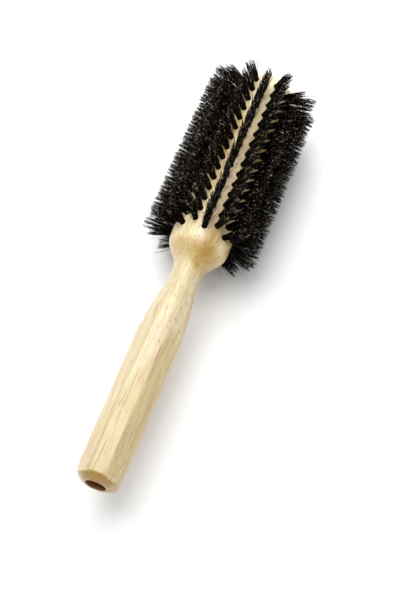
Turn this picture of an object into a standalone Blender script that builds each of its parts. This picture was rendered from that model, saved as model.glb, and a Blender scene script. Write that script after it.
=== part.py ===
"""Round barrel brush: one turned wooden body set with sixteen rows of bristle tufts.

The brush lies with its axis level, along +Y from the butt to the tip, on the lowest bristles.
Each part is drawn about its own axis and hangs from one empty, which lifts it off the ground.
"""

import math
from bisect import bisect_right

import bmesh
import bpy
from mathutils import Vector

# Driving dimensions, in metres. A distance along the brush is counted from the butt.
LENGTH = 0.253
BRISTLE_REACH = 0.031           # from the axis to the bristle tips
BARREL_RADIUS = 0.01525
GRIP_END = 0.084                # where the straight octagonal grip starts to narrow
GRIP_BUTT_RADIUS = 0.0122       # the round blank that the flats are planed on
GRIP_END_RADIUS = 0.0125
FLAT_SHARE = 0.94               # from the axis to a flat, as a share of the blank's radius
FLAT_SHARE_LOST = 1.06          # the same at FLATS_END: it passes 1 half way, where flats end
FLATS_END = 0.126
BUTT_BEVEL = 0.0031             # length of the bevels on four of the flats at the butt
CORNER_BEVEL = 0.0018           # length of the bevels on the four flats between them
END_FACE_HALF = 0.0062          # from the axis to the end face's edge at a long bevel
END_FACE_CORNER = 0.0066        # and at a short bevel
BORE_RADIUS = 0.0054
BORE_DEPTH = 0.020
BORE_POINT = 0.0030             # drill point past the bore's full depth

# Turned outline past the grip: distance along the brush, radius.
NECK_AND_SHOULDER = (
    (0.092, 0.01165),
    (0.100, 0.01085),
    (0.110, 0.00935),
    (0.116, 0.00828),
    (0.121, 0.00785),
    (0.126, 0.00812),
    (0.130, 0.00930),
    (0.133, 0.01100),
    (0.136, 0.01330),
    (0.139, 0.01520),
    (0.142, 0.01603),
    (0.147, 0.01625),
    (0.152, 0.01585),
    (0.158, BARREL_RADIUS),
)
TIP_ROUNDING = 0.0028
TIP_DOME = 0.0006               # height of the slightly domed end of the barrel

# Tufts
ROWS = 16
TUFTS_IN_ROW = 15
PITCH = 0.0068
FIRST_TUFT = 0.1468
ROW_PHASE = math.radians(5.625)  # the first row's turn from straight up, towards +X
HOLE_RADIUS = 0.00165           # across the corners of the six-sided hole
HOLE_FLOOR = 0.00775            # from the axis to the bottom of a hole
STEM_RADIUS = 0.00135
STEM_CLEARANCE = 0.0003         # between a stem's end and the bottom of its hole
FLARE_START = 0.0168            # from the axis to where a tuft starts to spread
MERGE_REACH = 0.0280            # from the axis to where neighbouring tufts meet
TIP_HALF_ACROSS = 0.0023        # half of a row's width at the tips
TIP_HALF_FLAT = 0.0012
END_HALF_ALONG = 0.0020         # how far the outer side of an end tuft spreads

SEGMENTS = 2 * ROWS             # sides of the turned body
GRIP_FLATS = 8
SMOOTH_ANGLE = math.radians(35)

WOOD_COLOUR = (0.86, 0.71, 0.47, 1.0)
BRISTLE_COLOUR = (0.014, 0.011, 0.009, 1.0)


def clear_scene():
    for thing in list(bpy.data.objects):
        bpy.data.objects.remove(thing, do_unlink=True)


def material(name, colour, roughness):
    made = bpy.data.materials.new(name)
    made.use_nodes = True
    shader = made.node_tree.nodes["Principled BSDF"]
    shader.inputs["Base Color"].default_value = colour
    shader.inputs["Roughness"].default_value = roughness
    shader.inputs["Metallic"].default_value = 0.0
    return made


def polar_point(turn, along, radius):
    """A point at a turn from straight up, towards +X, about the brush's axis."""
    return Vector((radius * math.sin(turn), along, radius * math.cos(turn)))


def row_point(turn, along, across, height):
    """A point on a row: its height is measured from the axis along the row's own direction."""
    outward = polar_point(turn, 0.0, height)
    sideways = polar_point(turn + math.pi / 2, 0.0, across)
    return outward + sideways + Vector((0.0, along, 0.0))


def add_object(name, mesh_builder, finish, parent):
    """Makes a named, smooth-shaded object from the faces that mesh_builder adds."""
    mesh = bpy.data.meshes.new(name)
    bm = bmesh.new()
    mesh_builder(bm)
    bmesh.ops.recalc_face_normals(bm, faces=bm.faces)
    bm.to_mesh(mesh)
    bm.free()
    mesh.shade_smooth()
    mesh.set_sharp_from_angle(angle=SMOOTH_ANGLE)
    mesh.materials.append(finish)
    made = bpy.data.objects.new(name, mesh)
    made.parent = parent
    bpy.context.scene.collection.objects.link(made)
    return made


# The wooden body's outline

def turned_outline():
    grip = ((0.0, GRIP_BUTT_RADIUS), (GRIP_END, GRIP_END_RADIUS))
    barrel = ((LENGTH, BARREL_RADIUS),)
    return grip + NECK_AND_SHOULDER + barrel


OUTLINE = turned_outline()
OUTLINE_ALONG = [along for along, _ in OUTLINE]


def outline_slope(index):
    """Slope of the smooth outline at one of its points: never past the neighbours' radii."""
    if index in (0, len(OUTLINE) - 1):
        return 0.0
    (along_a, radius_a), (along_b, radius_b), (along_c, radius_c) = OUTLINE[index - 1:index + 2]
    before = (radius_b - radius_a) / (along_b - along_a)
    after = (radius_c - radius_b) / (along_c - along_b)
    if before * after <= 0:
        return 0.0
    return 2 * before * after / (before + after)


def turned_radius(along):
    """Radius of the turned blank, as a smooth curve through the outline's points."""
    index = min(max(bisect_right(OUTLINE_ALONG, along) - 1, 0), len(OUTLINE) - 2)
    (start, radius_start), (end, radius_end) = OUTLINE[index:index + 2]
    if index == 0:
        return radius_start + (radius_end - radius_start) * along / end
    span = end - start
    x = (along - start) / span
    blend = x * x * (3 - 2 * x)
    lean_start = span * outline_slope(index) * x * (1 - x) ** 2
    lean_end = span * outline_slope(index + 1) * x * x * (x - 1)
    return radius_start + (radius_end - radius_start) * blend + lean_start + lean_end


def plane_radius(turn, distance, planes):
    """Radius at a turn where evenly spaced planes stand at a distance from the axis."""
    step = 2 * math.pi / planes
    off_centre = (turn + step / 2) % step - step / 2
    return distance / math.cos(off_centre)


def bevel_radius(turn, along):
    """The bevels round the butt: long ones on four flats, short ones on those between."""
    flat = flat_distance(0.0)
    long_bevel = END_FACE_HALF + (flat - END_FACE_HALF) * along / BUTT_BEVEL
    short_bevel = END_FACE_CORNER + (flat - END_FACE_CORNER) * along / CORNER_BEVEL
    return min(plane_radius(turn, long_bevel, 4),
               plane_radius(turn + math.pi / 4, short_bevel, 4))


def flat_distance(along):
    """From the axis to a flat: the flats follow the neck inwards until they run out."""
    past_grip = max(along - GRIP_END, 0.0) / (FLATS_END - GRIP_END)
    return turned_radius(along) * (FLAT_SHARE + (FLAT_SHARE_LOST - FLAT_SHARE) * past_grip)


def handle_radius(turn, along):
    """The turned blank with flats planed on its grip and bevels cut round its butt."""
    if along > FLATS_END:
        return turned_radius(along)
    radius = min(turned_radius(along), plane_radius(turn, flat_distance(along), GRIP_FLATS))
    return min(radius, bevel_radius(turn, along))


# The wooden body's mesh

def add_ring(bm, along, radius_at):
    turns = [2 * math.pi * k / SEGMENTS for k in range(SEGMENTS)]
    return [bm.verts.new(polar_point(turn, along, radius_at(turn))) for turn in turns]


def bridge(bm, ring_a, ring_b):
    for k in range(len(ring_a)):
        following = (k + 1) % len(ring_a)
        bm.faces.new((ring_a[k], ring_a[following], ring_b[following], ring_b[k]))


def close_to_point(bm, ring, along):
    centre = bm.verts.new((0.0, along, 0.0))
    for k in range(len(ring)):
        bm.faces.new((ring[k], ring[(k + 1) % len(ring)], centre))


def handle_stations():
    """Where the handle is cut into rings, from the end face to the barrel."""
    bevels = [0.0, CORNER_BEVEL / 2, CORNER_BEVEL, (CORNER_BEVEL + BUTT_BEVEL) / 2, BUTT_BEVEL]
    neck = [along for along, _ in NECK_AND_SHOULDER if along < FIRST_TUFT - PITCH / 2]
    middles = [(a + b) / 2 for a, b in zip([GRIP_END] + neck, neck)]
    return sorted(bevels + [GRIP_END] + neck + middles)


def build_butt_and_grip(bm):
    """Bore, end face, bevels, grip, neck and shoulder; returns the last ring."""
    bore_floor = add_ring(bm, BORE_DEPTH, lambda turn: BORE_RADIUS)
    bore_mouth = add_ring(bm, 0.0, lambda turn: BORE_RADIUS)
    close_to_point(bm, bore_floor, BORE_DEPTH + BORE_POINT)
    bridge(bm, bore_floor, bore_mouth)
    last = bore_mouth
    for along in handle_stations():
        ring = add_ring(bm, along, lambda turn, along=along: handle_radius(turn, along))
        bridge(bm, last, ring)
        last = ring
    return last


def build_tip(bm):
    """Rounded rim and slightly domed end of the barrel; returns the ring that it starts from."""
    start = LENGTH - TIP_DOME - TIP_ROUNDING
    first = add_ring(bm, start, lambda turn: BARREL_RADIUS)
    last = first
    for angle in (math.radians(30), math.radians(60), math.radians(90)):
        inset = TIP_ROUNDING * (1 - math.cos(angle))
        ring = add_ring(bm, start + TIP_ROUNDING * math.sin(angle),
                        lambda turn, inset=inset: BARREL_RADIUS - inset)
        bridge(bm, last, ring)
        last = ring
    close_to_point(bm, last, LENGTH)
    return first


def row_turn(row):
    return ROW_PHASE + 2 * math.pi * row / ROWS


def tuft_positions(row):
    """Where a row's tufts sit along the brush: every other row is half a pitch further on."""
    start = FIRST_TUFT + (row % 2) * PITCH / 2
    return [start + PITCH * k for k in range(TUFTS_IN_ROW)]


def hexagon(radius):
    """Corners of a hexagon as (along, across), with two sides square to the row."""
    along = radius * math.cos(math.radians(30))
    across = radius / 2
    return ((-along, across), (0.0, radius), (along, across),
            (along, -across), (0.0, -radius), (-along, -across))


def add_hole(bm, row, centre):
    """One tuft hole: returns its six mouth corners, which lie on the barrel's surface."""
    mouth = []
    floor = []
    for along, across in hexagon(HOLE_RADIUS):
        height = math.sqrt(turned_radius(centre + along) ** 2 - across ** 2)
        mouth.append(bm.verts.new(row_point(row_turn(row), centre + along, across, height)))
        floor.append(bm.verts.new(row_point(row_turn(row), centre + along, across, HOLE_FLOOR)))
    bridge(bm, mouth, floor)
    bm.faces.new(floor)
    return mouth


def fill_between(bm, chain_a, chain_b):
    """Triangles between two chains of points that run side by side along the barrel."""
    a = 0
    b = 0
    while a < len(chain_a) - 1 or b < len(chain_b) - 1:
        at_end_a = a == len(chain_a) - 1
        at_end_b = b == len(chain_b) - 1
        step_a = not at_end_a and (at_end_b or chain_a[a + 1].co.y <= chain_b[b + 1].co.y)
        if step_a:
            bm.faces.new((chain_a[a], chain_a[a + 1], chain_b[b]))
            a += 1
        else:
            bm.faces.new((chain_a[a], chain_b[b + 1], chain_b[b]))
            b += 1


def build_barrel(bm, shoulder_ring, tip_ring):
    """The drilled surface. Each row of holes has a strip down its middle and a chain of
    points down each side, and the chains of neighbouring rows are joined by triangles.
    The sides of row k start at the shoulder ring's points 2k and 2k + 1."""
    left_chains = []
    right_chains = []
    for row in range(ROWS):
        ends = [(ring[2 * row], ring[2 * row + 1]) for ring in (shoulder_ring, tip_ring)]
        left = [ends[0][0]]
        right = [ends[0][1]]
        for centre in tuft_positions(row):
            mouth = add_hole(bm, row, centre)
            bm.faces.new((left[-1], right[-1], mouth[0], mouth[5]))
            right.extend(mouth[0:3])
            left.extend((mouth[5], mouth[4], mouth[3]))
        bm.faces.new((left[-1], right[-1], ends[1][1], ends[1][0]))
        left_chains.append(left + [ends[1][0]])
        right_chains.append(right + [ends[1][1]])
    for row in range(ROWS):
        fill_between(bm, right_chains[row], left_chains[(row + 1) % ROWS])


def build_wooden_body(bm):
    shoulder_ring = build_butt_and_grip(bm)
    tip_ring = build_tip(bm)
    build_barrel(bm, shoulder_ring, tip_ring)


# The bristle rows

def tuft_section(bm, row, centre, height, half_along, half_flat, half_across):
    """Six corners of a tuft's section, in the hexagon's order; half_along is a pair."""
    before, after = half_along
    corners = ((-before, half_flat), (0.0, half_across), (after, half_flat),
               (after, -half_flat), (0.0, -half_across), (-before, -half_flat))
    turn = row_turn(row)
    return [bm.verts.new(row_point(turn, centre + along, across, height))
            for along, across in corners]


def build_tuft(bm, row, centre, spread, shared):
    """One tuft from its stem in the hole to its tip.

    spread is how far the tips reach before and after the centre. shared holds the corners
    that the tuft before left at the merge height and at the tip, or None for the first.
    """
    stem_along = STEM_RADIUS * math.cos(math.radians(30))
    stem = ((stem_along, stem_along), STEM_RADIUS / 2, STEM_RADIUS)
    crown = (spread, TIP_HALF_FLAT, TIP_HALF_ACROSS)
    foot = tuft_section(bm, row, centre, HOLE_FLOOR + STEM_CLEARANCE, *stem)
    waist = tuft_section(bm, row, centre, FLARE_START, *stem)
    merge = tuft_section(bm, row, centre, MERGE_REACH, *crown)
    tip = tuft_section(bm, row, centre, BRISTLE_REACH, *crown)
    if shared:
        for section, corners in zip((merge, tip), shared):
            for own, given in zip((0, 5), corners):
                bm.verts.remove(section[own])
                section[own] = given
    bm.faces.new(foot)
    bridge(bm, foot, waist)
    bridge(bm, waist, merge)
    for corner in (0, 1, 3, 4):
        bm.faces.new((merge[corner], merge[corner + 1], tip[corner + 1], tip[corner]))
    bm.faces.new(tip)
    return merge, tip


def build_row(bm, row):
    """A row's tufts: separate in the wood, and grown into each other towards the tips."""
    positions = tuft_positions(row)
    shared = None
    for k, centre in enumerate(positions):
        before = END_HALF_ALONG if k == 0 else PITCH / 2
        after = END_HALF_ALONG if k == TUFTS_IN_ROW - 1 else PITCH / 2
        merge, tip = build_tuft(bm, row, centre, (before, after), shared)
        if k == 0:
            bm.faces.new((merge[5], merge[0], tip[0], tip[5]))
        shared = ((merge[2], merge[3]), (tip[2], tip[3]))
    bm.faces.new((merge[2], merge[3], tip[3], tip[2]))


def axis_height():
    """Height of the axis when the lowest row's outer corner rests on the ground."""
    lean = min(abs((row_turn(row) % (2 * math.pi)) - math.pi) for row in range(ROWS))
    flat_corner = BRISTLE_REACH * math.cos(lean) + TIP_HALF_FLAT * math.sin(lean)
    side_corner = BRISTLE_REACH * math.cos(lean) + TIP_HALF_ACROSS * math.sin(lean)
    return max(flat_corner, side_corner)


def main():
    clear_scene()
    wood = material("wood", WOOD_COLOUR, 0.42)
    bristle = material("bristle", BRISTLE_COLOUR, 0.45)
    brush_axis = bpy.data.objects.new("brush_axis", None)
    brush_axis.location = (0.0, -LENGTH / 2, axis_height())
    bpy.context.scene.collection.objects.link(brush_axis)
    add_object("wooden_body", build_wooden_body, wood, brush_axis)
    for row in range(ROWS):
        name = f"bristle_row_{row + 1:02d}"
        add_object(name, lambda bm, row=row: build_row(bm, row), bristle, brush_axis)


main()
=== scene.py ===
"""Round barrel brush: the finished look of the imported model.

The brush lies level along +Y, from the butt to the tip. The wooden body is drawn again with
softened edges and round tuft holes, and each row of tufts becomes a row of single bristles.
"""

import math
from bisect import bisect_right

import bmesh
import bpy
import numpy as np
from mathutils import Matrix, Vector


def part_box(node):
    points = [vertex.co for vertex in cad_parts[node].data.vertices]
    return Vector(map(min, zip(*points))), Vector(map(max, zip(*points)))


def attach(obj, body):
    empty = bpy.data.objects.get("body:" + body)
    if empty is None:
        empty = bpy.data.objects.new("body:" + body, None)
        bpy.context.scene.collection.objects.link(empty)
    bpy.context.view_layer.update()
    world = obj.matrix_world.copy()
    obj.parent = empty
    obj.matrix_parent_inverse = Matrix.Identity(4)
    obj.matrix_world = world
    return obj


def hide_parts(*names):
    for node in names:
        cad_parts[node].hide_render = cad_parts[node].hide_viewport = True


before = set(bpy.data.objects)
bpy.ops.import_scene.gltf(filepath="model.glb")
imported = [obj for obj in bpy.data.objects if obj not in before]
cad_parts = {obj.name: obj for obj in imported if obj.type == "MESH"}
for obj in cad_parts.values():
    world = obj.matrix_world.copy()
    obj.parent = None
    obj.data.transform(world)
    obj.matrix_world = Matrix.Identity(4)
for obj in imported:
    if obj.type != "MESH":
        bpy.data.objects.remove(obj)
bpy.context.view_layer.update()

BODY_LOW, BODY_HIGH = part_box("wooden_body")
LENGTH = BODY_HIGH.y - BODY_LOW.y
AXIS_X = (BODY_LOW.x + BODY_HIGH.x) / 2
AXIS_Z = (BODY_LOW.z + BODY_HIGH.z) / 2
BUTT_Y = BODY_LOW.y

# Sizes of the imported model, in metres. A distance along the brush is counted from the butt.
BARREL_RADIUS = 0.01525
GRIP_END = 0.084
GRIP_BUTT_RADIUS = 0.0122
GRIP_END_RADIUS = 0.0125
GRIP_SIDES = 8
FLAT_SHARE = 0.94               # distance to a flat of the grip, as a share of the radius
FLAT_SHARE_LOST = 1.06          # the same where the flats end, outside the turned surface
FLATS_END = 0.126
BEVELS = 4                      # long bevels round the butt, with as many short ones between
LONG_BEVEL = 0.0031
SHORT_BEVEL = 0.0018
END_FACE_HALF = 0.0062          # from the middle of the end face to a long bevel
END_FACE_CORNER = 0.0066        # the same to a short bevel
BORE_RADIUS = 0.0054
BORE_DEPTH = 0.020
BORE_POINT = 0.0030
NECK_AND_SHOULDER = (           # distance along the brush, and radius
    (0.092, 0.01165),
    (0.100, 0.01085),
    (0.110, 0.00935),
    (0.116, 0.00828),
    (0.121, 0.00785),
    (0.126, 0.00812),
    (0.130, 0.00930),
    (0.133, 0.01100),
    (0.136, 0.01330),
    (0.139, 0.01520),
    (0.142, 0.01603),
    (0.147, 0.01625),
    (0.152, 0.01585),
    (0.158, BARREL_RADIUS),
)
TIP_ROUNDING = 0.0028
TIP_DOME = 0.0006
ROWS = 16
TUFTS_IN_ROW = 15
PITCH = 0.0068
FIRST_TUFT = 0.1468
ROW_PHASE = math.radians(5.625) # turn of the first row from straight up
HOLE_FLOOR = 0.00775            # from the axis to the bottom of a tuft hole
BRISTLE_REACH = 0.031

# The finer shape of the wooden body
EDGE_SHARPNESS = 70             # exponent of the blend that softens the planed edges
BUTT_SHARPNESS = 16             # the same where hands have worn the butt rounder
WORN_FROM = 0.009
WORN_FULLY = 0.0045
LEAST_FACING = 0.3              # a plane that faces further away than this can't be nearest
BORE_LIP = 0.00025
LIP_BEND = 0.3                  # share of a lip's width that is left where it bends
BORE_RINGS = (0.012, 0.006, 0.002, BORE_LIP)    # depths of the rings on the bore's wall
BORE_LIP_RINGS = 2              # rings beyond those, which keep the colour of the end face
BUTT_EDGE_INSET = 0.00012       # how far inside its rim the end face is flat
BUTT_EDGE = 0.00008             # how far along the brush its softened rim reaches
HOLE_RADIUS = 0.00160
HOLE_LIP = 0.00014              # how far the worn edge of a hole reaches
HOLE_LIP_BEND = 0.00007         # depth of the ring where the worn edge bends down
HOLE_LIP_END = 0.000224         # depth where it has become the wall
HOLE_MARGIN = 0.00060           # how far round a hole the mesh follows its circle
BARREL_START = FIRST_TUFT - PITCH / 2
HANDLE_STEPS = (                # the mesh goes on to each distance in steps of this size
    (0.0038, 0.00018),
    (0.080, 0.0022),
    (0.112, 0.0011),
    (BARREL_START, 0.0007),
)
STEPS_IN_PITCH = 8              # mesh steps along one pitch of a row
STEPS_IN_SECTOR = 8             # mesh steps across one row's share of the barrel
COLUMNS = ROWS * STEPS_IN_SECTOR
ROUNDING_STEPS = 8
DOME_RINGS = (0.75, 0.5, 0.25)
SHARP_ANGLE = math.radians(42)  # an edge that bends more than this is not shaded smooth
NO_SHARP_EDGES = math.pi

# A tuft's bristles. What "varies" is a standard deviation.
STRANDS_IN_TUFT = 116
ROOT_SPREAD = 0.00136           # radius of a bundle in its hole
FOOT_SPREAD = 0.92              # share of it that is left at the bottom of the hole
MOUTH_SPREAD = 0.00163          # radius just above the hole, whose lip bends the bristles
STRAND_FOOT = HOLE_FLOOR + 0.0004
OPENING = (2.75, 1.85)          # how much wider a tuft is at its tips, along and across
OPENING_VARIES = 0.12
CLUMPS_IN_TUFT = 6
CLUMP_TURN = 2.4                # from one clump to the next, in radians
CLUMP_DISTANCES = (0.35, 1.0)   # least and greatest, as shares of the bundle's radius
CLUMP_PULLS = (0.30, 0.92)      # least and greatest, as shares of the way to the clump
CLUMP_REACH_VARIES = 0.00055
TIP_VARIES = 0.00020
STRAY_SHARE = 0.13
STRAY_VARIES = 0.0021
TUFT_LEAN_VARIES = (0.00025, 0.00018)       # along and across
MEAN_REACH = BRISTLE_REACH + 0.0002
REACH_VARIES = 0.00045
SHORT_SHARE = 0.18
SHORTER_BY = (0.0005, 0.0050)   # least and greatest
LONGEST_BRISTLE = 0.0322
BOW_VARIES = 0.00028
STATION_SHARES = (0.06, 0.38, 0.70, 1.0)    # of the way from the hole's mouth to the tip
LEAN_EARLY = 0.44               # exponent of the lean along the brush; 1 is a straight lean

# How the first and last tuft of a row stand, and the tufts that the brush lies on. A lean
# is how far the tips are moved along the brush, and a splay is how much wider a tuft opens.
FIRST_LEAN_TOP = 0.0024
FIRST_LEAN_UNDER = 0.0036
FIRST_LEAN_SIDE = (0.0008, 0.0030)      # back over the shoulder, in even and odd rows
FIRST_SPLAY_SIDE = 0.30
FIRST_SPLAY_ACROSS = 1.1
LAST_LEAN = -0.0008
LAST_SPLAY = 0.9
UNDER_SPLAY = 0.25
GROUND_GAP = 0.00015            # no bristle is lower than this and a random share of a range
GROUND_GAP_RANGE = 0.0004
FIRST_ROW_SEED = 7100

STRAND_RADII = (0.000115, 0.000115, 0.00010925, 0.000092, 0.000050)     # from foot to tip
STRAND_REACHES = (0.0, 0.05, 0.4, 0.7, 1.0)     # for the material, at the same points
STRAND_SIDES = 3
TINY = 1e-12                    # keeps a length of 0 from being divided by

# The wire anchors; heights are from the axis
WIRE_RADIUS = 0.00019
WIRE_SIDES = 6
ANCHOR_HALF = 0.00118
ANCHOR_TOP_SHARE = 0.72         # share of the half width that is straight at the top
ANCHOR_FOOT = HOLE_FLOOR + 0.00005
ANCHOR_BEND = ANCHOR_FOOT + 0.0011
ANCHOR_TOP = ANCHOR_FOOT + 0.0015

# Places in the wood, from the brush's middle: X to the right, Y towards the tip
GRAIN_LINES = (                 # each starts at its first X and Y and ends at its second
    (-0.0008, -0.0650, -0.0011, -0.0975),
    (0.0046, -0.0460, 0.0056, -0.0720),
    (0.0044, -0.0930, 0.0053, -0.1160),
    (-0.0054, -0.0230, -0.0056, -0.0380),
    (-0.0015, -0.1020, -0.0022, -0.1240),
)
LINE_WIDTH = 0.00036
LINE_CORE = 0.3                 # share of the width that is fully dark
LINE_WAVES = 0.0009
LINE_FADE = 0.006
# a golden patch on the shoulder's right side: partly the wood's tone, partly painted shade
GOLD_AND_SHADE_PATCH = (0.0074, 0.0050, 0.0392)
GOLD_AND_SHADE_FADE = (0.004, 0.0115)    # distances from the patch's middle

# From where to where, along Y, the colour of the wood changes
# painted light: paler wood from the neck over the shoulder and barrel, for their highlight
SHOULDER_LIGHT_FADE = (-0.004, 0.030)
# painted light: brighter, warmer wood on the barrel, for the lit strips between the rows
BARREL_LIGHT_FADE = (0.018, 0.030)
# painted light: paler, less golden wood towards the tip, for its brightly lit end
TIP_LIGHT_FADE = (0.092, 0.120)
GOLD_GROWS = (-0.03, 0.012)
GOLD_ENDS = (0.080, 0.115)

# Colours of the wood, as linear red, green and blue. A tint multiplies the colour under it.
CREAM = (0.70, 0.62, 0.37)
PINK = (0.70, 0.565, 0.375)
HONEY = (0.52, 0.39, 0.18)
FIBRE_BROWN = (0.50, 0.37, 0.19)
PORE_BROWN = (0.27, 0.17, 0.08)
LINE_BROWN = (0.27, 0.165, 0.07)
BORE_BROWN = (0.21, 0.09, 0.014)
# painted light, brightening and whitening the wood from the shoulder on
SHOULDER_LIGHT_TINT = (1.44, 1.46, 1.52)
GOLD_TINT = (0.76, 0.64, 0.41)
# painted light on the barrel's strips between the rows
BARREL_LIGHT_TINT = (1.15, 1.10, 1.00)
# painted light towards the tip
TIP_LIGHT_TINT = (1.03, 1.08, 1.26)
# partly wood tone, partly painted shade, on the shoulder's right side
GOLD_AND_SHADE_TINT = (0.86, 0.74, 0.44)
# painted shade on the surfaces that face right, away from the key light
RIGHT_SHADE_TINT = (0.86, 0.74, 0.48)
# partly end grain, partly painted shade on faces turned towards the butt, away from the lamps
END_GRAIN_AND_SHADE_TINT = (0.68, 0.49, 0.16)

# How strong a colour or a tint is at its strongest; the others are at full strength
HONEY_STRENGTH = 0.80
FIBRE_STRENGTH = 0.55
PORE_STRENGTH = 0.50
LINE_STRENGTH = 0.70
# end grain and painted shade on faces towards the tip, weaker there as the tip is lit
TIP_END_GRAIN_AND_SHADE = 0.65
WORN_TIP_STRENGTH = 0.30
WORN_TIPS_FROM = 0.80           # share of a bristle's length
GOLD_ON_GRIP = 0.5              # the gold grows from this to full strength

# Other colours
BRISTLE_BLACK = (0.0020, 0.0017, 0.0015)
BRISTLE_BROWN = (0.034, 0.019, 0.009)
# pale bristle ends and painted glints
PALE_END_AND_GLINT_COLOUR = (0.92, 0.84, 0.70)
WORN_TIP_COLOUR = (0.19, 0.13, 0.08)
WIRE_BRIGHT = (0.62, 0.60, 0.56)
WIRE_TARNISHED = (0.42, 0.39, 0.34)
FLOOR_COLOUR = (0.97, 0.97, 0.975, 1.0)
SEEN_WORLD_COLOUR = (1.0, 1.0, 1.0, 1.0)
WORLD_LIGHT_COLOUR = (0.96, 0.98, 1.0, 1.0)

# The stage
FLOOR_HALF = 2.2
WORLD_LIGHT = 0.62
SOFTBOXES = {                   # place, size, power and colour
    "key_light": ((-0.26, 0.12, 1.15), 1.00, 11.0, (1.0, 0.99, 0.975)),
    "back_light": ((-0.20, 0.80, 0.90), 0.60, 3.2, (1.0, 1.0, 1.0)),
}
LIGHTS_AIM = (0.0, 0.0, 0.03)
LENS = 86.28
SENSOR = 36.0
CAMERA_AZIMUTH = math.radians(19.452)
CAMERA_ELEVATION = math.radians(62.536)
CAMERA_ROLL = math.radians(1.148)
CAMERA_DISTANCE = 0.7466
CAMERA_TARGET = Vector((0.012206, -0.013468, 0.030995))


# Places on the brush

def polar_point(turn, along, radius):
    """A point at a turn from straight up, towards +X, about the brush's axis."""
    return (AXIS_X + radius * math.sin(turn), BUTT_Y + along, AXIS_Z + radius * math.cos(turn))


def row_turn(row):
    return ROW_PHASE + 2 * math.pi * row / ROWS


def tuft_positions(row):
    """Distances along the brush; odd rows are half a pitch further on."""
    start = FIRST_TUFT + (row % 2) * PITCH / 2
    return [start + PITCH * k for k in range(TUFTS_IN_ROW)]


OUTLINE = ((0.0, GRIP_BUTT_RADIUS), (GRIP_END, GRIP_END_RADIUS)) + NECK_AND_SHOULDER
OUTLINE = OUTLINE + ((LENGTH, BARREL_RADIUS),)
OUTLINE_ALONG = [along for along, _ in OUTLINE]


def outline_slope(index):
    """Slope of the smooth outline at one of its points, from the straight ones beside it."""
    if index in (0, len(OUTLINE) - 1):
        return 0.0
    (along_a, radius_a), (along_b, radius_b), (along_c, radius_c) = OUTLINE[index - 1:index + 2]
    before = (radius_b - radius_a) / (along_b - along_a)
    after = (radius_c - radius_b) / (along_c - along_b)
    if before * after <= 0:
        return 0.0
    return 2 * before * after / (before + after)


def turned_radius(along):
    """Radius of the turned blank, as a smooth curve through the outline's points."""
    index = min(max(bisect_right(OUTLINE_ALONG, along) - 1, 0), len(OUTLINE) - 2)
    (start, radius_start), (end, radius_end) = OUTLINE[index:index + 2]
    if index == 0:
        return radius_start + (radius_end - radius_start) * along / end
    span = end - start
    x = (along - start) / span
    blend = x * x * (3 - 2 * x)
    lean_start = span * outline_slope(index) * x * (1 - x) ** 2
    lean_end = span * outline_slope(index + 1) * x * x * (x - 1)
    return radius_start + (radius_end - radius_start) * blend + lean_start + lean_end


def plane_distances(turn, distance, planes, offset=0.0):
    """From the axis, at a turn, to each of some evenly spaced planes that faces that way."""
    found = []
    for k in range(planes):
        facing = math.cos(turn - offset - 2 * math.pi * k / planes)
        if facing > LEAST_FACING:
            found.append(distance / facing)
    return found


def edge_sharpness(along):
    wear = min(max((WORN_FROM - along) / (WORN_FROM - WORN_FULLY), 0.0), 1.0)
    return EDGE_SHARPNESS + (BUTT_SHARPNESS - EDGE_SHARPNESS) * wear


def soft_minimum(radii, sharpness):
    """The smallest radius, with the edges between the surfaces slightly rounded."""
    least = min(radii)
    total = sum((least / radius) ** sharpness for radius in radii)
    return least * total ** (-1 / sharpness)


def flat_distance(along):
    """From the axis to a flat: a share of the blank's radius that grows until it is lost."""
    past_grip = max(along - GRIP_END, 0.0) / (FLATS_END - GRIP_END)
    return turned_radius(along) * (FLAT_SHARE + (FLAT_SHARE_LOST - FLAT_SHARE) * past_grip)


def handle_radius(turn, along):
    """The turned blank with flats planed on its grip and bevels cut round its butt."""
    blank = turned_radius(along)
    if along > FLATS_END:
        return blank
    radii = [blank] + plane_distances(turn, flat_distance(along), GRIP_SIDES)
    if along < 2 * LONG_BEVEL:
        flat = flat_distance(0.0)
        to_long = END_FACE_HALF + (flat - END_FACE_HALF) * along / LONG_BEVEL
        to_short = END_FACE_CORNER + (flat - END_FACE_CORNER) * along / SHORT_BEVEL
        radii += plane_distances(turn, to_long, BEVELS)
        radii += plane_distances(turn, to_short, BEVELS, math.pi / BEVELS)
    return soft_minimum(radii, edge_sharpness(along))


# Mesh helpers

def new_piece(name, points, faces, material, sharp_angle=SHARP_ANGLE):
    """Makes a smooth-shaded object from points and faces, its normals facing outwards."""
    mesh = bpy.data.meshes.new(name)
    mesh.from_pydata(points, [], faces)
    bm = bmesh.new()
    bm.from_mesh(mesh)
    bmesh.ops.recalc_face_normals(bm, faces=bm.faces)
    bm.to_mesh(mesh)
    bm.free()
    mesh.shade_smooth()
    mesh.set_sharp_from_angle(angle=sharp_angle)
    mesh.materials.append(material)
    piece = bpy.data.objects.new(name, mesh)
    bpy.context.scene.collection.objects.link(piece)
    return piece


def add_point_value(mesh, name, values):
    attribute = mesh.attributes.new(name, "FLOAT", "POINT")
    attribute.data.foreach_set("value", np.asarray(values, dtype=np.float32))


def column_turn(column):
    """Turn of a mesh column; the first row's columns start at the left edge of its sector."""
    return ROW_PHASE - math.pi / ROWS + 2 * math.pi * column / COLUMNS


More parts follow.
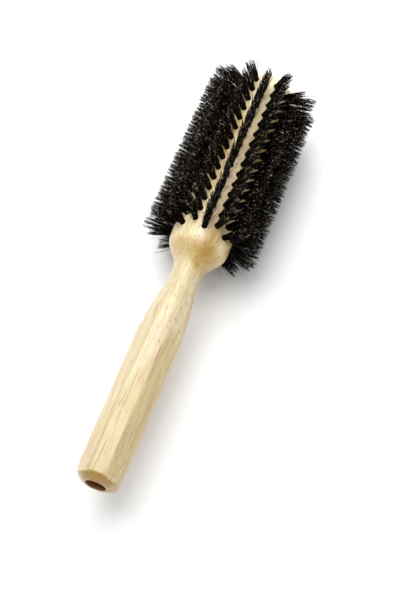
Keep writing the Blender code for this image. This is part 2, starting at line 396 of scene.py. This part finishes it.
class Surface:
    """Points and faces of the wooden body, gathered before the mesh is made."""

    def __init__(self):
        self.points = []
        self.faces = []

    def point(self, turn, along, radius):
        self.points.append(polar_point(turn, along, radius))
        return len(self.points) - 1

    def ring(self, along, radius_at):
        """Points all round the brush, at the radius that radius_at gives for each turn."""
        turns = [column_turn(k) for k in range(COLUMNS)]
        return [self.point(turn, along, radius_at(turn)) for turn in turns]

    def bridge(self, ring_a, ring_b):
        count = len(ring_a)
        for k in range(count):
            following = (k + 1) % count
            self.faces.append((ring_a[k], ring_a[following], ring_b[following], ring_b[k]))

    def turned(self, last, places):
        """Goes on from the last ring with round ones at (along, radius); returns the end one."""
        for along, radius in places:
            ring = self.ring(along, lambda turn: radius)
            self.bridge(last, ring)
            last = ring
        return last

    def cone(self, ring, along):
        centre = self.point(0.0, along, 0.0)
        for k in range(len(ring)):
            self.faces.append((ring[k], ring[(k + 1) % len(ring)], centre))


# The wooden body

def steps(start, end, size):
    """Evenly spaced stations after start, up to and including end."""
    count = max(1, round((end - start) / size))
    return [start + (end - start) * (k + 1) / count for k in range(count)]


def build_bore(surface):
    """Drill point, wall and softened mouth of the blind bore; returns the mouth's last ring."""
    bottom = surface.ring(BORE_DEPTH, lambda turn: BORE_RADIUS)
    surface.cone(bottom, BORE_DEPTH + BORE_POINT)
    places = [(along, BORE_RADIUS) for along in BORE_RINGS]
    places.append((BORE_LIP * LIP_BEND, BORE_RADIUS + BORE_LIP * LIP_BEND))
    places.append((0.0, BORE_RADIUS + BORE_LIP))
    return surface.turned(bottom, places)


def build_handle(surface, last):
    """End face, bevels, grip, neck and shoulder; returns the ring where the barrel starts."""
    inset = surface.ring(0.0, lambda turn: handle_radius(turn, 0.0) - BUTT_EDGE_INSET)
    surface.bridge(last, inset)
    last = inset
    start = BUTT_EDGE
    stations = [start]
    for end, size in HANDLE_STEPS:
        stations += steps(start, end, size)
        start = end
    for along in stations:
        ring = surface.ring(along, lambda turn: handle_radius(turn, along))
        surface.bridge(last, ring)
        last = ring
    return last


def lattice_loop():
    """Steps (along, across) round the edge of one tuft's cell, counted from its middle."""
    half_along = STEPS_IN_PITCH // 2
    half_across = STEPS_IN_SECTOR // 2
    loop = [(-half_along, j) for j in range(-half_across, half_across)]
    loop += [(i, half_across) for i in range(-half_along, half_along)]
    loop += [(half_along, j) for j in range(half_across, -half_across, -1)]
    loop += [(i, -half_across) for i in range(half_along, -half_along, -1)]
    return loop


class Barrel:
    """The drilled part of the body: a lattice of points, with one hole in each cell."""

    def __init__(self, surface, first_ring):
        self.surface = surface
        self.step = PITCH / STEPS_IN_PITCH
        self.known = {(0, column): index for column, index in enumerate(first_ring)}
        self.last_station = STEPS_IN_PITCH * TUFTS_IN_ROW + STEPS_IN_PITCH // 2

    def lattice(self, station, column):
        """The point at a station along the barrel and a column round it, made once."""
        column %= COLUMNS
        if (station, column) not in self.known:
            along = BARREL_START + station * self.step
            made = self.surface.point(column_turn(column), along, turned_radius(along))
            self.known[(station, column)] = made
        return self.known[(station, column)]

    def plain(self, station_a, station_b, row):
        """Fills the half cell that the staggering of the rows leaves at one end."""
        for station in range(station_a, station_b):
            for column in range(row * STEPS_IN_SECTOR, (row + 1) * STEPS_IN_SECTOR):
                corners = ((station, column), (station, column + 1),
                           (station + 1, column + 1), (station + 1, column))
                self.surface.faces.append([self.lattice(*corner) for corner in corners])

    def circle(self, row, centre, radius, angles, height=None):
        """Points round a hole, on the barrel's surface or at a height from the axis."""
        made = []
        for angle in angles:
            along = centre + radius * math.cos(angle)
            across = radius * math.sin(angle)
            if height is None:
                reach = math.sqrt(turned_radius(along) ** 2 - across ** 2)
            else:
                reach = height
            turn = row_turn(row) + math.atan2(across, reach)
            made.append(self.surface.point(turn, along, math.hypot(across, reach)))
        return made

    def cell(self, row, index):
        """One tuft's cell: the surface round its hole, the worn lip, the wall and the floor."""
        middle = index * STEPS_IN_PITCH + STEPS_IN_PITCH // 2
        middle += (row % 2) * STEPS_IN_PITCH // 2
        middle_column = row * STEPS_IN_SECTOR + STEPS_IN_SECTOR // 2
        centre = tuft_positions(row)[index]
        mouth = turned_radius(centre)
        loop = lattice_loop()
        last = [self.lattice(middle + i, middle_column + j) for i, j in loop]
        width = 2 * math.pi * BARREL_RADIUS / COLUMNS
        angles = [math.atan2(j * width, i * self.step) for i, j in loop]
        circles = (
            (HOLE_RADIUS + HOLE_MARGIN, None),
            (HOLE_RADIUS + HOLE_LIP, None),
            (HOLE_RADIUS + HOLE_LIP * LIP_BEND, mouth - HOLE_LIP_BEND),
            (HOLE_RADIUS, mouth - HOLE_LIP_END),
            (HOLE_RADIUS, HOLE_FLOOR),
        )
        for radius, height in circles:
            ring = self.circle(row, centre, radius, angles, height)
            self.surface.bridge(last, ring)
            last = ring
        self.surface.faces.append(last)

    def build(self):
        """All cells; returns the ring where the barrel's plain end starts."""
        half = STEPS_IN_PITCH // 2
        for row in range(ROWS):
            if row % 2:
                self.plain(0, half, row)
            else:
                self.plain(self.last_station - half, self.last_station, row)
            for index in range(TUFTS_IN_ROW):
                self.cell(row, index)
        return [self.lattice(self.last_station, column) for column in range(COLUMNS)]


def build_tip(surface, last):
    """Rounded rim and slightly domed end of the barrel."""
    start = LENGTH - TIP_DOME - TIP_ROUNDING
    places = []
    for k in range(ROUNDING_STEPS + 1):
        angle = math.pi / 2 * k / ROUNDING_STEPS
        inset = TIP_ROUNDING * (1 - math.cos(angle))
        places.append((start + TIP_ROUNDING * math.sin(angle), BARREL_RADIUS - inset))
    edge = BARREL_RADIUS - TIP_ROUNDING
    for share in DOME_RINGS:
        places.append((LENGTH - TIP_DOME * share ** 2, edge * share))
    last = surface.turned(last, places)
    surface.cone(last, LENGTH)


def make_body(material):
    """The whole body as one closed mesh; in_bore marks the bore's points for the material."""
    surface = Surface()
    last = build_bore(surface)
    bore_points = len(surface.points) - BORE_LIP_RINGS * COLUMNS
    last = build_handle(surface, last)
    last = Barrel(surface, last).build()
    build_tip(surface, last)
    body = new_piece("turned_body", surface.points, surface.faces, material)
    in_bore = np.zeros(len(surface.points))
    in_bore[:bore_points] = 1.0
    add_point_value(body.data, "in_bore", in_bore)
    return body


# The bristles

def tuft_roots(rng):
    """Where a tuft's bristles stand in their hole, along and across the brush."""
    angle = rng.uniform(0, 2 * math.pi, STRANDS_IN_TUFT)
    distance = ROOT_SPREAD * np.sqrt(rng.uniform(0, 1, STRANDS_IN_TUFT))
    return np.stack([distance * np.cos(angle), distance * np.sin(angle)], axis=1)


def tuft_clumps(rng, roots):
    """For each bristle, the middle of its clump among the roots, and the clump's extra reach."""
    extra = rng.normal(0, CLUMP_REACH_VARIES, CLUMPS_IN_TUFT)
    angle = rng.uniform(0, 2 * math.pi) + np.arange(CLUMPS_IN_TUFT) * CLUMP_TURN
    distance = ROOT_SPREAD * rng.uniform(*CLUMP_DISTANCES, CLUMPS_IN_TUFT)
    middles = np.stack([np.cos(angle), np.sin(angle)], axis=1) * distance[:, None]
    nearest = np.argmin(((roots[:, None] - middles[None]) ** 2).sum(2), axis=1)
    return middles[nearest], extra[nearest]


def tuft_tips(rng, roots, clumps, opening, lean):
    """Where the bristles end, along and across: drawn into clumps, with a few strays."""
    pull = rng.uniform(*CLUMP_PULLS, STRANDS_IN_TUFT)[:, None]
    tips = (roots * (1 - pull) + clumps * pull) * opening
    tips += rng.normal(0, TIP_VARIES, (STRANDS_IN_TUFT, 2))
    stray = rng.uniform(0, 1, STRANDS_IN_TUFT) < STRAY_SHARE
    tips[stray] += rng.normal(0, STRAY_VARIES, (int(stray.sum()), 2))
    tips[:, 0] += lean + rng.normal(0, TUFT_LEAN_VARIES[0])
    tips[:, 1] += rng.normal(0, TUFT_LEAN_VARIES[1])
    return tips


def tuft_reaches(rng, extra):
    """How far from the axis the bristles end; some are clearly shorter than the rest."""
    reaches = MEAN_REACH + extra + rng.normal(0, REACH_VARIES, STRANDS_IN_TUFT)
    short = rng.uniform(0, 1, STRANDS_IN_TUFT) < SHORT_SHARE
    reaches[short] -= rng.uniform(*SHORTER_BY, int(short.sum()))
    return np.minimum(reaches, LONGEST_BRISTLE)


def tuft_strands(rng, centre, lean, splay):
    """Centre lines of a tuft's bristles, as (strand, point, (along, across, height)).

    They stand close together in the hole, bow slightly, and open towards their tips. lean is
    how far the tips lean along the brush, and splay is how many times wider than usual the
    tuft opens, along and across.
    """
    roots = tuft_roots(rng)
    opening = (np.array(OPENING) + rng.normal(0, OPENING_VARIES, 2)) * splay
    clumps, extra = tuft_clumps(rng, roots)
    tips = tuft_tips(rng, roots, clumps, opening, lean)
    reaches = tuft_reaches(rng, extra)
    bow = rng.normal(0, BOW_VARIES, (STRANDS_IN_TUFT, 2))
    mouth = turned_radius(centre)
    lines = np.zeros((STRANDS_IN_TUFT, len(STRAND_RADII), 3))
    lines[:, 0, :2] = roots * FOOT_SPREAD
    lines[:, 0, 2] = STRAND_FOOT
    for k, share in enumerate(STATION_SHARES, start=1):
        moved = np.array([share ** LEAN_EARLY, share])
        lines[:, k, :2] = roots + (tips - roots) * moved + bow * 4 * share * (1 - share)
        lines[:, k, 2] = mouth + (reaches - mouth) * share
    beside = np.linalg.norm(lines[:, 1, :2], axis=1, keepdims=True)
    lines[:, 1, :2] *= np.minimum(1.0, MOUTH_SPREAD / beside)
    lines[:, :, 0] += centre
    return lines


def tuft_stance(row, index):
    """Lean and splay of a tuft; the first and last of a row differ, and the rows below."""
    turn = row_turn(row)
    under = max(0.0, -math.cos(turn))
    if index == 0:
        side = abs(math.sin(turn))
        lean = FIRST_LEAN_TOP * max(0.0, math.cos(turn)) + FIRST_LEAN_UNDER * under ** 2
        lean -= FIRST_LEAN_SIDE[row % 2] * side
        return lean, np.array([1.0 + FIRST_SPLAY_SIDE * side ** 2, FIRST_SPLAY_ACROSS])
    splay = np.array([1.0, 1.0]) + UNDER_SPLAY * under
    if index == TUFTS_IN_ROW - 1:
        return LAST_LEAN, splay * LAST_SPLAY
    return 0.0, splay


def row_to_world(turn, places):
    """World coordinates of places given as (along, across, height) in the row at a turn."""
    along, across, height = places[..., 0], places[..., 1], places[..., 2]
    world = np.empty_like(places)
    world[..., 0] = AXIS_X + height * math.sin(turn) + across * math.cos(turn)
    world[..., 1] = BUTT_Y + along
    world[..., 2] = AXIS_Z + height * math.cos(turn) - across * math.sin(turn)
    return world


def row_strands(row):
    """Centre lines of all bristles of a row, in world coordinates, and their random shades."""
    rng = np.random.default_rng(FIRST_ROW_SEED + row)
    tufts = []
    for index, centre in enumerate(tuft_positions(row)):
        lean, splay = tuft_stance(row, index)
        tufts.append(tuft_strands(rng, centre, lean, splay))
    world = row_to_world(row_turn(row), np.concatenate(tufts))
    ground = GROUND_GAP + rng.uniform(0, GROUND_GAP_RANGE, len(world))[:, None]
    world[..., 2] = np.maximum(world[..., 2], ground)
    return world, rng.uniform(0, 1, len(world))


def strand_mesh(lines, radii, sides):
    """Thin closed tubes along many centre lines of equal point count."""
    count, stations, _ = lines.shape
    direction = np.gradient(lines, axis=1)
    direction /= np.linalg.norm(direction, axis=2, keepdims=True) + TINY
    helper = np.array([0.0, 1.0, 0.0])
    side_a = np.cross(direction, helper)
    side_a /= np.linalg.norm(side_a, axis=2, keepdims=True) + TINY
    side_b = np.cross(direction, side_a)
    angles = 2 * math.pi * np.arange(sides) / sides
    ring = (side_a[:, :, None] * np.cos(angles)[None, None, :, None]
            + side_b[:, :, None] * np.sin(angles)[None, None, :, None])
    points = lines[:, :, None] + ring * np.asarray(radii)[None, :, None, None]
    points = points.reshape(-1, 3)
    index = np.arange(count * stations * sides).reshape(count, stations, sides)
    following = np.roll(index, -1, axis=2)
    quads = np.stack([index[:, :-1], following[:, :-1], following[:, 1:], index[:, 1:]], axis=-1)
    faces = quads.reshape(-1, 4).tolist()
    faces += index[:, 0, ::-1].tolist()
    faces += index[:, -1].tolist()
    return points, faces


def make_row(row, material):
    """A row's bristles; shade and reach tell the material which bristle, and where on it."""
    lines, shades = row_strands(row)
    points, faces = strand_mesh(lines, STRAND_RADII, STRAND_SIDES)
    name = f"bristles_row_{row + 1:02d}"
    piece = new_piece(name, points.tolist(), faces, material, NO_SHARP_EDGES)
    shade = np.repeat(shades, len(STRAND_RADII) * STRAND_SIDES)
    add_point_value(piece.data, "shade", shade)
    reach = np.tile(np.repeat(STRAND_REACHES, STRAND_SIDES), len(lines))
    add_point_value(piece.data, "reach", reach)
    return piece


# The wire anchors

def anchor_lines(row):
    """Centre lines of the bent wires that hold a row's tufts at the bottom of their holes."""
    half_top = ANCHOR_HALF * ANCHOR_TOP_SHARE
    bends = (
        (-ANCHOR_HALF, ANCHOR_FOOT),
        (-ANCHOR_HALF, ANCHOR_BEND),
        (-half_top, ANCHOR_TOP),
        (half_top, ANCHOR_TOP),
        (ANCHOR_HALF, ANCHOR_BEND),
        (ANCHOR_HALF, ANCHOR_FOOT),
    )
    places = [[(centre, *bend) for bend in bends] for centre in tuft_positions(row)]
    return row_to_world(row_turn(row), np.array(places))


def make_anchors(material):
    lines = np.concatenate([anchor_lines(row) for row in range(ROWS)])
    points, faces = strand_mesh(lines, [WIRE_RADIUS] * lines.shape[1], WIRE_SIDES)
    return new_piece("wire_anchors", points.tolist(), faces, material)


# Materials

MIX_INPUTS = (0, 6, 7)          # the factor and the two colours of a Mix node set to colours
MIX_OUTPUT = 2                  # its colour result


class Shading:
    """A material's node tree, with short calls for the nodes that it needs."""

    def __init__(self, name):
        self.material = bpy.data.materials.new(name)
        self.material.use_nodes = True
        self.tree = self.material.node_tree
        self.shader = self.tree.nodes["Principled BSDF"]
        self.coordinates = self.tree.nodes.new("ShaderNodeTexCoord").outputs["Object"]

    def link(self, source, target):
        self.tree.links.new(source, target)

    def fill(self, socket, value):
        """Gives a socket a constant or another node's output."""
        if isinstance(value, bpy.types.NodeSocket):
            self.link(value, socket)
        elif isinstance(value, tuple):
            socket.default_value = value + (1.0,)
        else:
            socket.default_value = value

    def noise(self, scale, detail=2.0, roughness=0.5, distortion=0.0, shift=0.0):
        """Noise stretched by a scale, in features per metre, on each of X, Y and Z."""
        mapping = self.tree.nodes.new("ShaderNodeMapping")
        mapping.inputs["Scale"].default_value = scale
        mapping.inputs["Location"].default_value = (shift, shift, shift)
        self.link(self.coordinates, mapping.inputs["Vector"])
        texture = self.tree.nodes.new("ShaderNodeTexNoise")
        texture.inputs["Scale"].default_value = 1.0
        texture.inputs["Detail"].default_value = detail
        texture.inputs["Roughness"].default_value = roughness
        texture.inputs["Distortion"].default_value = distortion
        self.link(mapping.outputs["Vector"], texture.inputs["Vector"])
        return texture.outputs["Fac"]

    def ramp(self, value, low, high, to_low=0.0, to_high=1.0):
        """The value from low to high, spread smoothly from to_low to to_high."""
        node = self.tree.nodes.new("ShaderNodeMapRange")
        node.interpolation_type = "SMOOTHSTEP"
        node.inputs["From Min"].default_value = low
        node.inputs["From Max"].default_value = high
        node.inputs["To Min"].default_value = to_low
        node.inputs["To Max"].default_value = to_high
        self.link(value, node.inputs["Value"])
        return node.outputs["Result"]

    def fall(self, value, low, high):
        """1 where the value is up to low, and smoothly down to 0 at high."""
        return self.ramp(value, low, high, 1.0, 0.0)

    def maths(self, operation, first, second=0.0):
        node = self.tree.nodes.new("ShaderNodeMath")
        node.operation = operation
        self.fill(node.inputs[0], first)
        self.fill(node.inputs[1], second)
        return node.outputs["Value"]

    def mix(self, amount, first, second, blend="MIX"):
        """Mixes two colours; each is a colour or another node's output."""
        node = self.tree.nodes.new("ShaderNodeMix")
        node.data_type = "RGBA"
        node.blend_type = blend
        factor, colour_a, colour_b = (node.inputs[k] for k in MIX_INPUTS)
        self.fill(factor, amount)
        self.fill(colour_a, first)
        self.fill(colour_b, second)
        return node.outputs[MIX_OUTPUT]

    def tint(self, amount, colour, tint):
        """The colour multiplied by a tint, as far as the amount says."""
        return self.mix(amount, colour, tint, "MULTIPLY")

    def part(self, vector, axis):
        """One of a vector's parts, named by its axis."""
        node = self.tree.nodes.new("ShaderNodeSeparateXYZ")
        self.link(vector, node.inputs["Vector"])
        return node.outputs[axis]

    def place(self, axis):
        """Distance from the brush's middle: X is to the right, Y towards the tip."""
        return self.part(self.coordinates, axis)

    def near(self, point, inner, outer):
        """1 within the inner distance of a point, and 0 from the outer distance on."""
        node = self.tree.nodes.new("ShaderNodeVectorMath")
        node.operation = "DISTANCE"
        self.link(self.coordinates, node.inputs[0])
        node.inputs[1].default_value = point
        return self.fall(node.outputs["Value"], inner, outer)

    def facing(self, axis):
        """How far the surface faces along an axis, from -1 to 1."""
        geometry = self.tree.nodes.new("ShaderNodeNewGeometry")
        return self.part(geometry.outputs["Normal"], axis)

    def attribute(self, name):
        node = self.tree.nodes.new("ShaderNodeAttribute")
        node.attribute_name = name
        return node.outputs["Fac"]

    def bump(self, height, distance, strength, before=None):
        node = self.tree.nodes.new("ShaderNodeBump")
        node.inputs["Strength"].default_value = strength
        node.inputs["Distance"].default_value = distance
        self.link(height, node.inputs["Height"])
        if before:
            self.link(before, node.inputs["Normal"])
        return node.outputs["Normal"]

    def set(self, **values):
        """Sets constants on the shader; an underscore stands for a space in a socket's name."""
        for name, value in values.items():
            self.shader.inputs[name.replace("_", " ")].default_value = value


def dark_lines(wood):
    """Thin dark grain lines, each slightly wavy and broken up along its length."""
    along = wood.place("Y")
    waves = wood.maths("SUBTRACT", wood.noise((90, 90, 90), detail=1.0), 0.5)
    across = wood.maths("ADD", wood.place("X"), wood.maths("MULTIPLY", waves, LINE_WAVES))
    total = 0.0
    for across_a, along_a, across_b, along_b in GRAIN_LINES:
        slope = (across_b - across_a) / (along_b - along_a)
        line_across = wood.maths("MULTIPLY", along, slope)
        line_across = wood.maths("ADD", line_across, across_a - slope * along_a)
        distance = wood.maths("ABSOLUTE", wood.maths("SUBTRACT", across, line_across))
        line = wood.fall(distance, LINE_CORE * LINE_WIDTH, LINE_WIDTH)
        starts = wood.ramp(along, along_b, along_b + LINE_FADE)
        ends = wood.fall(along, along_a - LINE_FADE, along_a)
        line = wood.maths("MULTIPLY", line, wood.maths("MULTIPLY", starts, ends))
        total = wood.maths("MAXIMUM", line, total)
    breaks = wood.ramp(wood.noise((600, 200, 600)), 0.34, 0.52, to_low=0.45)
    return wood.maths("MULTIPLY", total, breaks)


def wood_grain(wood, fibres):
    """The colour of bare wood: cream and pink bands with honey streaks and brown fibres."""
    bands = wood.noise((190, 30, 190), detail=3.0, roughness=0.55, distortion=0.6)
    colour = wood.mix(wood.ramp(bands, 0.42, 0.58), CREAM, PINK)
    streaks = wood.noise((560, 22, 560), detail=4.0, roughness=0.65, distortion=0.7)
    colour = wood.mix(wood.ramp(streaks, 0.50, 0.68, to_high=HONEY_STRENGTH), colour, HONEY)
    return wood.mix(wood.ramp(fibres, 0.38, 0.70, to_high=FIBRE_STRENGTH), colour, FIBRE_BROWN)


def tints_along(wood, colour, gold):
    """Golden in broad patches; painted light: paler from the shoulder, warmer on the barrel."""
    along = wood.place("Y")
    # painted light: the shoulder's highlight and the lit barrel, as paler wood
    colour = wood.tint(wood.ramp(along, *SHOULDER_LIGHT_FADE), colour, SHOULDER_LIGHT_TINT)
    golden = wood.ramp(gold, 0.46, 0.62)
    golden = wood.maths("MULTIPLY", golden, wood.ramp(along, *GOLD_GROWS, to_low=GOLD_ON_GRIP))
    golden = wood.maths("MULTIPLY", golden, wood.fall(along, *GOLD_ENDS))
    colour = wood.tint(golden, colour, GOLD_TINT)
    # painted light: brighter, warmer wood on the lit strips between the rows
    colour = wood.tint(wood.ramp(along, *BARREL_LIGHT_FADE), colour, BARREL_LIGHT_TINT)
    # painted light: paler, less golden towards the brightly lit tip
    return wood.tint(wood.ramp(along, *TIP_LIGHT_FADE), colour, TIP_LIGHT_TINT)


def tints_by_facing(wood, colour, gold):
    """Darker, more golden: painted shade on the right side; end grain and painted shade at ends.
    """
    # painted shade: the right side is darker and more golden, as the lamps light it less
    right_shade = wood.ramp(wood.facing("X"), 0.80, 0.97)
    colour = wood.tint(right_shade, colour, RIGHT_SHADE_TINT)
    # end grain, and painted shade on faces turned towards the butt, away from the lamps
    facing_ends = wood.facing("Y")
    butt = wood.fall(facing_ends, -0.90, -0.05)
    tip = wood.ramp(facing_ends, 0.50, 1.00, to_high=TIP_END_GRAIN_AND_SHADE)
    end_grain_and_shade = wood.maths("MAXIMUM", butt, tip)
    end_grain_and_shade = wood.maths("MULTIPLY", end_grain_and_shade, wood.ramp(gold, 0.40, 0.60, to_low=0.78))
    return wood.tint(end_grain_and_shade, colour, END_GRAIN_AND_SHADE_TINT)


def wood_material():
    """Pale close-grained wood with fine pores and a few dark lines, under a satin lacquer."""
    wood = Shading("pale_wood")
    fibres = wood.noise((1250, 80, 1250), detail=3.0, roughness=0.65)
    gold = wood.noise((42, 16, 42), detail=1.0, shift=23.0)
    colour = tints_along(wood, wood_grain(wood, fibres), gold)

    pores = wood.ramp(wood.noise((1700, 260, 1700), detail=1.0, roughness=0.4), 0.63, 0.69)
    porous = wood.ramp(wood.noise((80, 30, 80)), 0.42, 0.60)
    pores = wood.maths("MULTIPLY", pores, porous)
    colour = wood.mix(wood.maths("MULTIPLY", pores, PORE_STRENGTH), colour, PORE_BROWN)
    lines = dark_lines(wood)
    colour = wood.mix(wood.maths("MULTIPLY", lines, LINE_STRENGTH), colour, LINE_BROWN)

    # golden patch on the shoulder's right: partly the wood's tone, partly painted shade
    colour = wood.tint(wood.near(GOLD_AND_SHADE_PATCH, *GOLD_AND_SHADE_FADE), colour, GOLD_AND_SHADE_TINT)
    colour = tints_by_facing(wood, colour, gold)
    colour = wood.mix(wood.attribute("in_bore"), colour, BORE_BROWN)
    wood.link(colour, wood.shader.inputs["Base Color"])
    wood.link(wood.ramp(fibres, 0.3, 0.7, 0.36, 0.48), wood.shader.inputs["Roughness"])

    hollows = wood.maths("SUBTRACT", 1.0, wood.maths("MAXIMUM", pores, lines))
    grain = wood.bump(fibres, distance=0.00008, strength=0.35)
    grain = wood.bump(hollows, distance=0.00012, strength=0.5, before=grain)
    wood.link(grain, wood.shader.inputs["Normal"])
    wood.set(Specular_IOR_Level=0.2, Coat_Weight=1.0, Coat_Roughness=0.33)
    return wood.material


def bristle_material():
    """Black natural bristle: brown hairs, paler tips, flecks of pale ends and painted glints."""
    bristle = Shading("dark_bristle")
    shade = bristle.attribute("shade")
    reach = bristle.attribute("reach")
    brown = bristle.ramp(shade, 0.80, 0.96)
    colour = bristle.mix(brown, BRISTLE_BLACK, BRISTLE_BROWN)

    fine = bristle.noise((1000, 1000, 1000), detail=1.0)
    broad = bristle.noise((230, 230, 230), detail=1.0)
    outer = bristle.ramp(reach, 0.30, 0.80, to_low=0.06)
    outer = bristle.maths("MULTIPLY", outer, bristle.ramp(broad, 0.42, 0.56, to_low=0.2))
    # flecks near the tips: partly pale bristle ends, partly painted glints
    pale_ends_and_glints = bristle.maths("MULTIPLY", bristle.ramp(fine, 0.635, 0.66), outer)
    pale_ends_and_glints = bristle.maths("MULTIPLY", pale_ends_and_glints, bristle.ramp(shade, 0.10, 0.25))
    colour = bristle.mix(pale_ends_and_glints, colour, PALE_END_AND_GLINT_COLOUR)

    tips = bristle.ramp(reach, WORN_TIPS_FROM, 1.0)
    worn = bristle.maths("MULTIPLY", tips, bristle.ramp(shade, 0.80, 0.9))
    worn = bristle.maths("MULTIPLY", worn, WORN_TIP_STRENGTH)
    colour = bristle.mix(worn, colour, WORN_TIP_COLOUR)
    bristle.link(colour, bristle.shader.inputs["Base Color"])
    bristle.link(bristle.ramp(fine, 0.3, 0.7, 0.22, 0.36), bristle.shader.inputs["Roughness"])
    bristle.set(Specular_IOR_Level=0.03)
    return bristle.material


def wire_material():
    """Drawn steel wire, lightly dulled."""
    wire = Shading("anchor_wire")
    tarnish = wire.noise((700, 700, 700), detail=3.0)
    colour = wire.mix(wire.ramp(tarnish, 0.4, 0.7), WIRE_BRIGHT, WIRE_TARNISHED)
    wire.link(colour, wire.shader.inputs["Base Color"])
    wire.link(wire.ramp(tarnish, 0.3, 0.7, 0.30, 0.48), wire.shader.inputs["Roughness"])
    wire.set(Metallic=1.0)
    return wire.material


def floor_material():
    paper = Shading("white_floor")
    paper.set(Base_Color=FLOOR_COLOUR, Roughness=0.9, Specular_IOR_Level=0.1)
    return paper.material


# The stage

def make_floor():
    low, high = -FLOOR_HALF, FLOOR_HALF
    corners = [(low, low, 0.0), (high, low, 0.0), (high, high, 0.0), (low, high, 0.0)]
    floor = new_piece("floor", corners, [(0, 1, 2, 3)], floor_material())


def make_world():
    """White surroundings: fully white where the camera sees them, softer as a light."""
    world = bpy.data.worlds.new("white_room")
    world.use_nodes = True
    nodes = world.node_tree.nodes
    links = world.node_tree.links
    nodes.clear()
    seen = nodes.new("ShaderNodeBackground")
    seen.inputs["Color"].default_value = SEEN_WORLD_COLOUR
    seen.inputs["Strength"].default_value = 1.0
    lighting = nodes.new("ShaderNodeBackground")
    lighting.inputs["Color"].default_value = WORLD_LIGHT_COLOUR
    lighting.inputs["Strength"].default_value = WORLD_LIGHT
    rays = nodes.new("ShaderNodeLightPath")
    choice = nodes.new("ShaderNodeMixShader")
    output = nodes.new("ShaderNodeOutputWorld")
    links.new(rays.outputs["Is Camera Ray"], choice.inputs[0])
    links.new(lighting.outputs[0], choice.inputs[1])
    links.new(seen.outputs[0], choice.inputs[2])
    links.new(choice.outputs[0], output.inputs[0])
    bpy.context.scene.world = world


def make_lights():
    """Square soft lights, all aimed at the brush and hidden from the camera."""
    for name, (place, size, power, colour) in SOFTBOXES.items():
        light = bpy.data.lights.new(name, "AREA")
        light.shape = "SQUARE"
        light.size = size
        light.energy = power
        light.color = colour
        box = bpy.data.objects.new(name, light)
        box.location = place
        box.rotation_mode = "QUATERNION"
        aim = Vector(LIGHTS_AIM) - Vector(place)
        box.rotation_quaternion = aim.to_track_quat("-Z", "Y")
        box.visible_camera = False
        bpy.context.scene.collection.objects.link(box)


def make_camera():
    """The photo's camera, as its perspective gives it."""
    data = bpy.data.cameras.new("camera")
    data.lens = LENS
    data.sensor_width = SENSOR
    camera = bpy.data.objects.new("camera", data)
    back = Vector((math.sin(CAMERA_AZIMUTH) * math.cos(CAMERA_ELEVATION),
                   -math.cos(CAMERA_AZIMUTH) * math.cos(CAMERA_ELEVATION),
                   math.sin(CAMERA_ELEVATION)))
    level = Vector((math.cos(CAMERA_AZIMUTH), math.sin(CAMERA_AZIMUTH), 0.0))
    upright = back.cross(level)
    right = level * math.cos(CAMERA_ROLL) + upright * math.sin(CAMERA_ROLL)
    up = upright * math.cos(CAMERA_ROLL) - level * math.sin(CAMERA_ROLL)
    turn = Matrix((right, up, back)).transposed().to_4x4()
    camera.matrix_world = Matrix.Translation(CAMERA_TARGET + back * CAMERA_DISTANCE) @ turn
    bpy.context.scene.collection.objects.link(camera)
    bpy.context.scene.camera = camera


def main():
    bpy.context.scene.view_settings.view_transform = "Standard"
    make_camera()
    make_world()
    make_lights()
    make_floor()
    body = make_body(wood_material())
    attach(body, "root")
    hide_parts("wooden_body")
    bristle = bristle_material()
    for row in range(ROWS):
        piece = make_row(row, bristle)
        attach(piece, "root")
        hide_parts(f"bristle_row_{row + 1:02d}")
    anchors = make_anchors(wire_material())
    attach(anchors, "root")


main()
